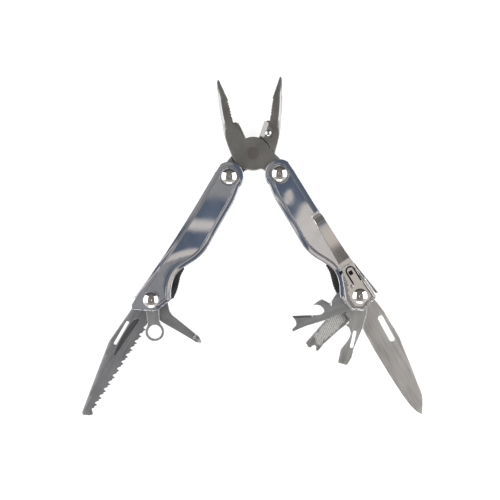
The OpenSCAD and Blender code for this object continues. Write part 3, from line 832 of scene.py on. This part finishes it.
def nose_loop():
    """The nose as seen from above, with its two coarse rows and one fine row of teeth."""
    inner = lobe_line(9.3) + [(-2.75, 21.5), (-3.1, 22.1), (-2.9, 22.8)]
    inner += teeth((-2.5, 24.8), (-1.2, 30.4), 3, 0.55) + teeth((-1.2, 30.4), (-BITE - 0.35, 35.2), 3, 0.55)
    inner += teeth((-BITE - 0.3, 35.2), (-BITE - 0.3, 47.5), 14, -0.28)
    return inner + [(-BITE - 0.3, 48.5), (-0.4, NOSE_TOP)] + smooth(NOSE_OUTER, 5) + [(-9, 9.0)]


def tang_loops():
    """The tang that reaches back into the handle, waisted on its inner side, and the boss at its end."""
    across = np.array([math.cos(TANG_ANGLE), math.sin(TANG_ANGLE)])
    along = np.array(TANG_END) / TANG_REACH
    inner = smooth([(2, -8.5), (7.5, -5.6), (10.5, -3.9), (13, -4.2), (16, -5.8), (20, -6.7)], 5)
    outline = inner + [(TANG_REACH, 6.8), (0, 9)]
    return [[tuple(along * s + across * w) for s, w in outline], circle(TANG_END, 7.6)]


def half_thickness(y):
    p = np.array(NOSE_HALF)
    return np.interp(y, p[:, 0], p[:, 1])


def bevel_width(y):
    """Width of the facet along the nose's outer side."""
    return np.interp(y, [11, 17, 24, 38, 45, 50], [0, 0.7, 1.75, 1.5, 0.7, 0.3])


def jaw():
    """One jaw, drawn closed: the nose to -X of the pivot, the tang to +X, its own half disc on top."""
    outer = smooth(NOSE_OUTER, 5)
    slope, groove_depth, groove_half = 1.35, 0.28, 0.22
    pocket_in, pocket_out = grown(CUTTER_PLAN, -0.04), grown(CUTTER_PLAN, 0.04)
    groove = beside(lobe_line(9.9), 0.95)

    def nose(x, y, d):
        facet = bevel_width(y)
        fall = slope * np.maximum(0, facet - from_line(x, y, outer)) * (y > 10.6)
        return half_thickness(y) - fall

    def top(x, y, d):
        line = groove_depth * np.maximum(0, 1 - from_line(x, y, groove) / groove_half)
        return nose(x, y, d) - np.maximum(line, softened(0.3, d) * (np.hypot(x, y) > PIVOT_R + 1))

    def bottom(x, y, d):
        r = np.hypot(x, y)
        full = ((y > 3) & (r > LAP_CLEAR + 0.02)) | ((y < 0) & (x > -4) & (r > TANG_CLEAR + 0.02))
        under = np.where(full, -nose(x, y, d) + softened(0.3, d), LAP)
        inset = inside(np.stack([x, y], axis=1), CUTTER_PLAN) & (r > LAP_CLEAR + 0.02)
        return np.where(inset, CUTTER_Z[1], under)

    ring = lambda r, start, end: arc((0, 0), r, start, end, 60)
    dense_outer = dense(outer, 0.8, closed=False)
    widths = bevel_width(np.array(dense_outer)[:, 1])
    facet_end = int(len(dense_outer) * 0.93)
    folds = [ring(LAP_CLEAR, 92, 150), ring(LAP_CLEAR + 0.05, 92, 150),
             ring(TANG_CLEAR, 268, 328), ring(TANG_CLEAR + 0.05, 268, 328),
             beside(dense_outer, widths)[:facet_end], beside(dense_outer, widths - 0.08)[:facet_end],
             groove, beside(groove, groove_half), beside(groove, -groove_half),
             pocket_in + pocket_in[:1], pocket_out + pocket_out[:1]]
    loops = [nose_loop(), circle((0, 0), DISC, 90),
             [(-0.8, 0), (-0.8, 13.1), (-10.2, 12.4), (-11.9, 10.5)] + smooth(SHOULDER, 6), *tang_loops()]
    holes = [circle((0, 0), PIVOT_R), circle(TANG_END, SHANK + EYE_GAP)]
    return solid(loops, top, bottom, holes, steps=(0.05, 0.15, 0.3), gap=0.7, grid=1.7, creases=folds)


def grown(loop, offset):
    """The closed loop moved outwards, or inwards if negative."""
    p = np.array(loop, float)
    area = np.sum(p[:, 0] * np.roll(p[:, 1], -1) - np.roll(p[:, 0], -1) * p[:, 1])
    before, after = p - np.roll(p, 1, axis=0), np.roll(p, -1, axis=0) - p
    turn = lambda v: np.stack([v[:, 1], -v[:, 0]], axis=1) / np.linalg.norm(v, axis=1)[:, None]
    both = turn(before) + turn(after)
    both = both * (2 / np.sum(both * both, axis=1))[:, None] * math.copysign(1, area)
    return [tuple(q) for q in p + both * offset]


def cutter():
    """Ground insert: a flat body that narrows to the cutting edge at the closed line."""
    loop = [p for p in CUTTER_PLAN if math.hypot(*p) > LAP_CLEAR + 0.1]
    middle, half = sum(CUTTER_Z) / 2, (CUTTER_Z[1] - CUTTER_Z[0]) / 2
    slope = math.tan(math.radians(28))
    edge = lambda x: np.minimum(half, 0.12 + slope * (-BITE - x))
    top = lambda x, y, d: middle + edge(x) - softened(0.12, d) * (x < -1)
    bottom = lambda x, y, d: middle - edge(x) + softened(0.2, d) * (x < -1)
    fold = -BITE - (half - 0.12) / slope
    return solid([loop], top, bottom, [circle(SCREW_AT, 1.2, 24), circle((0, 0), LAP_CLEAR + 0.02, 90)],
                 steps=(0.05, 0.2), gap=0.6, grid=1.2, creases=[[(fold, 11.5), (fold, 20.5)]])


def cutter_screw():
    """Small domed screw with a hexagon-like socket pressed in its head."""
    base, radius = 2.6, 2.1
    rise = cap(base, radius, 0.9)
    rows = [(0, rise(0) - 0.4), (0.45, rise(0) - 0.4), (0.52, rise(0.52) - 0.02)]
    rows += [(radius * k, rise(radius * k)) for k in np.linspace(0.32, 0.98, 9)]
    rows += [(radius, base), (1.2, base), (1.2, -2.4), (0, -2.4)]
    return lathe([(r, -z) for r, z in rows], SCREW_AT, 40)


def main_pivot():
    """Flush rivet of the lap joint, with a hairline chamfer on both faces."""
    rows = [(0, HEAD - 0.03), (1.2, HEAD - 0.025), (2.6, HEAD - 0.02), (PIVOT_R - 0.06, HEAD - 0.015),
            (PIVOT_R - 0.05, HEAD - 0.3)]
    mirrored = [(r, -z) for r, z in rows][::-1]
    return lathe(rows + mirrored, (0, 0), 72)


def facet_ground_and_highlight(verts):
    """One on the ground facets along the noses' outer sides, which are lightened partly as ground steel and
    partly as a painted highlight.
    """
    x, y = verts[:, 0], verts[:, 1]
    inwards = from_line(x, y, smooth(NOSE_OUTER, 5))
    on_facet = np.clip((bevel_width(y) - inwards) / 0.08, 0, 1) * np.clip((inwards - 0.05) / 0.2, 0, 1)
    return on_facet * ease(14, 19, y) * ease(45, 40, y)


def build_pliers():
    jaw_mesh = jaw()
    for which in ("front", "rear"):
        place, body = jaw_frame(which), which + "_jaw"
        set_piece(body + "_forging", jaw_mesh, place, body, [body], "jaw_steel", JAW, 32,
                  wear=near_rim(nose_loop()[1:-2], 0.22), ground=facet_ground_and_highlight)
        set_piece(which + "_wire_cutter_ground", cutter(), place, body, [which + "_wire_cutter"],
                  "cutter_steel", CUTTER, 20)
        set_piece(which + "_cutter_screw_domed", cutter_screw(), place, body, [which + "_cutter_screw"],
                  "rivet_steel", RIVET)
    set_piece("main_pivot_face", main_pivot(), jaw_frame("front"), "front_jaw", ["main_pivot_rivet"],
              "jaw_steel", PIVOT_FACE)


# ---------- implements ----------
EYE = 5.4
EYE_HOLE = SHANK + EYE_GAP
LAYER = {
    "knife_blade": (-5.5, -3.8), "saw": (-5.5, -3.9), "file": (-2.7, -1.1), "flat_screwdriver": (1.4, 3.1),
    "bottle_opener": (3.7, 5.4), "phillips_driver": (-1.0, 1.2), "lanyard_ring": (1.6, 3.2),
}


def half_sheet(name):
    return (LAYER[name][1] - LAYER[name][0]) / 2


def rim_only(radius):
    """A face that falls only at its rounded rim."""
    return lambda x, y, d: softened(radius, d)


def implement(name, outlines, fall, under=None, cuts=(), **meshing):
    """A sheet in the implement's own layer, with its eye. fall is how far the top lies below the sheet's
    face, and under is the same for the underside, where it differs."""
    low, high = LAYER[name]
    under = under or fall
    top = lambda x, y, d: high - fall(x, y, d)
    bottom = lambda x, y, d: low + under(x, y, d)
    plan = [*outlines, circle((0, 0), EYE)]
    return solid(plan, top, bottom, [circle((0, 0), EYE_HOLE), *cuts], **meshing)


KNIFE_EDGE = [(81.5, 0.3), (79, 2.0), (76, 3.1), (70, 4.5), (58, 5.8), (46, 6.6), (34, 7.2), (24, 7.35),
              (18, 7.3)]
GROUND_EDGE = 1.3


def edge_share(verts):
    """One on the knife's ground edge, fading at the heel."""
    inwards = from_line(verts[:, 0], verts[:, 1], smooth(KNIFE_EDGE, 5))
    return np.clip((GROUND_EDGE - inwards) / 0.5, 0, 1) * ease(20, 34, verts[:, 0])


def knife():
    """Blade with a satin flat grind, a bright ground edge, a thumb slot and notches on its spine."""
    edge = smooth(KNIFE_EDGE, 5)
    back = [(28, -9.6), (34, -9.7), (40, -9.0), (52, -7.7), (62, -6.4), (70, -5.4), (74, -4.0), (78, -1.7)]
    spine = [(2, -6.0), (9, -7.9), (16, -9.0), *smooth(back, 4), (81.5, 0.3)]
    heel = [(14.5, 7.2), (13.2, 5.4), (9, 5.0), (2, 5.2)]
    half = half_sheet("knife_blade")

    def fall(x, y, d):
        e = from_line(x, y, edge)
        ground = np.where(e < GROUND_EDGE, 0.05 + 0.29 * e, 0.427 + 0.095 * (e - GROUND_EDGE))
        grind = (half - np.minimum(half, ground)) * ease(15.2, 18.5, x)
        return grind + np.where(y < 0, softened(0.18, d), 0)

    notches = [circle((17.4 + i * 1.5, -9.6 + 0.06 * (6 - i)), 0.45, 12) for i in range(7)]
    folds = [beside(edge, GROUND_EDGE), beside(edge, 5.7)]
    return implement("knife_blade", [spine + edge[1:] + heel], fall, steps=(0.04, 0.16), gap=0.8, grid=2.4,
                     cuts=[stadium((18.3, -5.2), 14.2, 1.6), *notches], creases=folds)


FULLER = smooth([(13.7, 0.0), (15.0, -2.9), (20, -4.1), (28, -4.4), (36, -4.0), (41.8, -2.8), (37, -1.4),
                 (28, -0.9), (20, -0.2)], 6, closed=True)


def fuller_painted_shade(verts):
    """Painted shade: one in the saw's recess, by half of the sheet's thickness, darkening the recess."""
    inner = inside(verts[:, :2], FULLER) & (verts[:, 2] > sum(LAYER["saw"]) / 2)
    return inner * np.clip(from_line(verts[:, 0], verts[:, 1], FULLER + FULLER[:1]) / 0.5, 0, 1) * 0.7


def saw():
    """Pull saw: large teeth that lean back, each with a small tooth behind it, and a fullered flat."""
    root, end, count, height = np.array((17.5, 6.3)), np.array((76.5, 3.6)), 12, 2.1
    step = (end - root) / count
    side = np.array([step[1], -step[0]]) / np.linalg.norm(step)
    cut = []
    for i in range(count):
        for along, depth in ((0.0, 1.0), (0.03, 0.05), (0.40, 0.62), (0.42, 0.28), (0.80, 0.86)):
            cut.append(tuple(root + step * (i + along) + side * height * depth))
    back = [(0, -5), (5, -6.4), (10.9, -7.7), (34, -9.5), (36.5, -9.35), (80.0, -2.1), (80.9, -1.4),
            (81.1, -0.6), (79.6, 2.6), (78.6, 3.9), (77.6, 4.2)]

    def fall(x, y, d):
        near = from_line(x, y, FULLER + FULLER[:1])
        inner = inside(np.stack([x, y], axis=1), FULLER)
        return softened(0.15, d) + np.where(inner, 0.5 * ease(0, 0.55, near), 0)

    floor = grown(FULLER, -0.55)
    return implement("saw", [back + cut[::-1] + [(15, 4.9), (8, 4.7), (0, 5)]], fall, rim_only(0.15),
                     cuts=[stadium((19.5, -5.75), 14.5, 0.9)], steps=(0.04, 0.15), gap=0.7, grid=2.4,
                     creases=[FULLER + FULLER[:1], floor + floor[:1]])


def lanyard_ring():
    """Short neck with a plain ring."""
    right = [(19.3, 5.4), (16.2, 4.5), (13, 3.5), (8, 3.9), (0, 4.6)]
    neck = [(x, -y) for x, y in right[::-1]] + right
    return implement("lanyard_ring", [neck, circle((19.3, 0), 5.65, 64)], rim_only(0.22),
                     cuts=[circle((19.3, 0), 4.05, 60)], steps=(0.05, 0.18, 0.4), gap=0.7, grid=1.8)


def phillips():
    """Flat shank that narrows to a four-winged point."""
    loop = smooth([(0, -5), (7, -6.0), (13.2, -6.2), (24, -4.4), (34.2, -2.7), (36.6, -2.5)], 4)
    loop += [(39.4, -0.95), (39.4, 0.0), (36.2, 1.4), (30, 1.3)]
    loop += smooth([(15.8, 1.0), (13.2, 1.7), (11.4, 2.9), (8.8, 5.0)], 4) + [(0, 5)]
    half = half_sheet("phillips_driver")
    axis = [(33, -0.65), (39.4, -0.48)]

    def fall(x, y, d):
        wing = 0.28 + (half - 0.28) * np.exp(-(from_line(x, y, axis) / 0.42) ** 2)
        point = 1 - 0.55 * ease(37.2, 39.4, x)
        body = half - 0.25 * ease(14, 22, x)
        thick = (body + (wing - body) * ease(33.6, 34.6, x)) * point
        return half - thick + softened(0.3, d) * ease(35, 33, x)

    folds = [axis, beside(axis, 0.5), beside(axis, -0.5)]
    folds += [[(33.6, -2.5), (33.6, 1.1)], [(34.6, -2.4), (34.6, 1.1)]]
    return implement("phillips_driver", [loop], fall, steps=(0.05, 0.15, 0.3), gap=0.5, grid=1.4,
                     creases=folds)


def screwdriver():
    """Flat driver with a hooked wire stripper, a small slot and a blade that thins to its tip."""
    loop = [(0, -5), (9.6, -6.4), (19.2, -5.7), (31, -3.4), (37.1, -3.2), (42.3, -1.5), (42.0, 4.0),
            (41.2, 4.3), (33.8, 4.3)]
    loop += smooth([(31.8, 3.4), (29.5, 2.2), (26.5, 0.9), (23.6, 0.5), (21.8, 1.0), (20, 2.2)], 4)
    loop += [(18.9, 4.4), (17.6, 3.0), (16.2, 3.1), (14.8, 2.3), (13.9, 4.2), (12.6, 5.6), (8, 5.4), (0, 5)]
    thin_from, thin_run, thin_by = 33.4, 8.6, 0.62
    fall = lambda x, y, d: thin_by * np.clip((x - thin_from) / thin_run, 0, 1) + softened(0.16, d)
    return implement("flat_screwdriver", [loop], fall, cuts=[stadium((21.9, -1.8), 8.7, 0.9)],
                     steps=(0.04, 0.16), gap=0.6, grid=1.8, creases=[[(thin_from, -2.9), (thin_from, 3.9)]])


def file_tool():
    """Flat file with rows of cut ridges across its face and a notched end."""
    loop = [(0, -5), (18.7, -5.9), (23, -5.2), (35.6, -4.0), (40.6, -4.4), (41.6, -4.2), (41.9, -3.2),
            (41.0, -2.4), (40.1, -1.7), (40, -1.0), (40.4, -0.3), (41.2, 0.1), (43, 0.3), (43.6, 1.3),
            (42.8, 4.2), (42.2, 4.5), (24, 4.9), (10, 5.2), (0, 5)]
    pitch, lean, depth, reach = 1.25, math.tan(math.radians(24)), 0.145, 4.2

    def fall(x, y, d):
        phase = ((x + lean * y) / pitch) % 1.0
        cut = depth * np.abs(phase - 0.5) * 2
        zone = ease(13.5, 14.5, x) * ease(39.2, 38.4, x) * ease(0.3, 0.6, d)
        return softened(0.18, d) + cut * zone

    middles = [i * pitch / 2 for i in range(22, 64) if i * pitch / 2 + lean * reach < 40]
    folds = [[(x + lean * reach, -reach), (x - lean * reach, reach)] for x in middles]
    return implement("file", [loop], fall, rim_only(0.18), steps=(0.04, 0.18, 0.6), gap=0.7, grid=2.4,
                     creases=folds)


def opener():
    """Bottle opener: round hook, can-opener beak and a small forked driver at the end."""
    hook = smooth([(28.4, 6.3), (25.9, 5.7), (24.2, 4.4), (23.2, 2.6), (23.2, 0.8), (24.2, -0.2),
                   (26.4, -0.5), (30.2, 0.9), (36.6, 3.6), (41.9, 5.6)], 5)
    loop = [(0, -5), (15, -5.3), (24.3, -4.9), (36.7, -3.3), (45.1, -3.2), (45.5, -2.0), (44.4, -1.2),
            (42.3, -0.6), (41.4, 0.8), (41.3, 2.6)] + hook[::-1]
    loop += [(25.0, 7.2), (21.6, 7.7), (21.0, 6.9), (18.6, 3.7), (17.7, 3.5), (16.6, 4.3), (12.4, 7.2),
             (6, 6.4), (0, 5)]
    beak, lip = [(21.5, 7.6), (18.2, 3.6)], [(41.8, 5.5), (31.5, 1.5)]
    beak_width, lip_width = 1.25, 1.35

    def fall(x, y, d):
        at_beak = 0.75 * np.maximum(0, beak_width - from_line(x, y, beak))
        at_lip = 0.62 * np.maximum(0, lip_width - from_line(x, y, lip))
        return np.maximum(at_beak + at_lip, softened(0.22, d))

    folds = [beside(lip, lip_width), beside(beak, beak_width), beside(beak, -beak_width)]
    return implement("bottle_opener", [loop], fall, rim_only(0.22), steps=(0.05, 0.22), gap=0.6, grid=1.8,
                     creases=folds)


def build_implements():
    makers = {"knife_blade": (knife, KNIFE, "blade_steel"), "saw": (saw, SAW, "tool_steel"),
              "lanyard_ring": (lanyard_ring, RING, "tool_steel"),
              "phillips_driver": (phillips, DARK_TOOL, "tool_steel"),
              "flat_screwdriver": (screwdriver, TOOL, "tool_steel"),
              "file": (file_tool, FILE, "tool_steel"), "bottle_opener": (opener, OPENER, "tool_steel")}
    # the saw's sunk share is painted shade in its recess
    shares = {"knife_blade": {"ground": edge_share}, "saw": {"sunk": fuller_painted_shade}}
    for name, (make, material, slot) in makers.items():
        mesh = make()
        set_piece(name + "_ground", mesh, tool_frame(name), name, [name], slot, material, 24,
                  **shares.get(name, {"wear": rim_wear(mesh)}))


def rim_wear(mesh, reach=0.2):
    """Rim wear from the mesh's own walls."""
    verts, faces = mesh
    walls = [f for f in faces if len(f) == 4]
    starts = np.array([verts[f[0]][:2] for f in walls])
    ends = np.array([verts[f[1]][:2] for f in walls])

    def share(points):
        return np.clip(1.1 - away(points[:, :2], starts, ends) / reach, 0, 1) * 0.4
    return share


# ---------- small parts that stay as they are ----------
def finish_cad_nodes():
    for side in ("left", "right"):
        place = handle_frame(side)
        metal = brushed(side + "_inner_steel", place, **INNER[1])
        for part in ("handle_washers", "liner", "tool_spacers", "lock_pin"):
            node = frame["nodes"][f"{side}_{part}"]
            node.data.materials.clear()
            node.data.materials.append(metal)


# ---------- stage ----------
def build_stage():
    floor_mesh = bpy.data.meshes.new("floor")
    half = 3.0
    corners = [(-half, -half, 0), (half, -half, 0), (half, half, 0), (-half, half, 0)]
    floor_mesh.from_pydata(corners, [], [(0, 1, 2, 3)])
    material, n, shader, spot = shaded("floor_paper", metallic=0.0)
    n.link(n.span(n.noise(spot, 8, 2), 0.78, 0.82), shader.inputs["Roughness"])
    shader.inputs["Emission Color"].default_value = (1, 1, 1, 1)
    shader.inputs["Emission Strength"].default_value = 0.85
    shader.inputs["Base Color"].default_value = (0.35, 0.35, 0.35, 1)
    floor_mesh.materials.append(material)
    floor = bpy.data.objects.new("floor", floor_mesh)
    bpy.context.scene.collection.objects.link(floor)


def area_light(name, place, size, power, colour=(1, 1, 1), target=(0, 0, 0)):
    data = bpy.data.lights.new(name, "AREA")
    data.shape = "RECTANGLE"
    data.size, data.size_y = size
    data.energy = power
    data.color = colour
    light = bpy.data.objects.new(name, data)
    bpy.context.scene.collection.objects.link(light)
    light.location = place
    light.rotation_mode = "QUATERNION"
    light.rotation_quaternion = (Vector(target) - Vector(place)).to_track_quat("-Z", "Y")


def build_lights():
    area_light("left_softbox", (-1.0, 0.12, 0.8), (1.4, 0.95), 12)
    area_light("right_softbox", (1.0, 0.12, 0.8), (1.4, 0.95), 12)
    area_light("front_softbox", (0, -1.15, 0.55), (0.9, 0.3), 6)
    world = bpy.data.worlds.new("studio")
    bpy.context.scene.world = world
    world.use_nodes = True
    n = Nodes(world.node_tree)
    way = n.add("ShaderNodeTexCoord").outputs["Generated"]
    parts = n.add("ShaderNodeSeparateXYZ", {"Vector": way})
    east, north, up = (parts.outputs[axis] for axis in "XYZ")
    walls = n.ramp(up, [(0.0, (0.95, 0.95, 0.95)), (0.5, (0.70, 0.68, 0.66)),
                        (0.8, (0.33, 0.32, 0.31)), (0.95, (0.20, 0.19, 0.19))])
    far_wall = n.ramp(up, [(0.0, (0.30, 0.30, 0.31)), (0.3, (0.06, 0.06, 0.065)),
                           (0.8, (0.22, 0.21, 0.21))])
    room = n.blend(n.span(north, 0.0, 1.0, 0.12, 0.35), walls, far_wall)
    overhead = n.math("GREATER_THAN", up, 0.985)
    colour = n.blend(overhead, room, ceiling(n, east, north, up))
    backdrop = world.node_tree.nodes["Background"]
    n.link(colour, backdrop.inputs["Color"])
    backdrop.inputs["Strength"].default_value = 1.0


CAMERA_HEIGHT = 0.909
CAMERA_DISTANCE = 0.9                    # down to a plane 9 mm above the floor
PICTURE_WIDTH = 0.3005                   # of that plane, across the picture
BLUE, BEIGE, GREY = (0.145, 0.18, 0.25), (0.86, 0.80, 0.75), (0.39, 0.39, 0.40)


def ceiling(n, east, north, up):
    """Panels over the table, as bands that run from east to west on one side and slant on the other."""
    across = n.math("MULTIPLY", n.math("DIVIDE", east, up), CAMERA_HEIGHT / MM)
    along = n.math("MULTIPLY", n.math("DIVIDE", north, up), CAMERA_HEIGHT / MM)
    share = n.span(n.math("ADD", along, n.math("MULTIPLY", across, 0.06)), 0.0, 1.0, -60, 60)
    edges = [(0.0, GREY), (0.41, GREY), (0.43, BEIGE), (0.475, BEIGE), (0.49, BLUE), (0.575, BLUE),
             (0.595, BEIGE), (0.63, BEIGE), (0.648, BLUE), (0.73, BLUE), (0.77, GREY)]
    left = n.ramp(share, edges)
    side_shade = n.math("MULTIPLY", n.span(across, 0.0, 1.0, -34, -24), n.span(along, 1.0, 0.0, -16, -9))
    left = n.blend(side_shade, left, BLUE)
    slant = n.math("SUBTRACT", across, n.math("MULTIPLY", along, 0.37))
    lower = n.blend(n.span(slant, 0.0, 1.0, 19, 22), BLUE, BEIGE)
    right = n.blend(n.span(along, 0.0, 1.0, 27, 30), lower, BLUE)
    flame = n.math("LESS_THAN", n.add("ShaderNodeVectorMath", {
        0: n.add("ShaderNodeCombineXYZ", {"X": across, "Y": n.math("MULTIPLY", along, 0.5)}).outputs[0],
        1: (23.5, 16, 0)}, operation="DISTANCE").outputs["Value"], 2.2)
    right = n.blend(flame, right, BEIGE)
    return n.blend(n.span(across, 0.0, 1.0, -2, 2), left, right)


def build_camera():
    data = bpy.data.cameras.new("camera")
    data.sensor_width = 36
    data.lens = data.sensor_width * CAMERA_DISTANCE / PICTURE_WIDTH
    camera = bpy.data.objects.new("camera", data)
    bpy.context.scene.collection.objects.link(camera)
    camera.location = (-0.001, -0.0025, CAMERA_HEIGHT)
    camera.rotation_euler = (0, 0, 0)
    bpy.context.scene.camera = camera
    bpy.context.scene.view_settings.view_transform = "Standard"


build_handles()
build_clip()
build_pliers()
build_implements()
finish_cad_nodes()
build_stage()
build_lights()
build_camera()
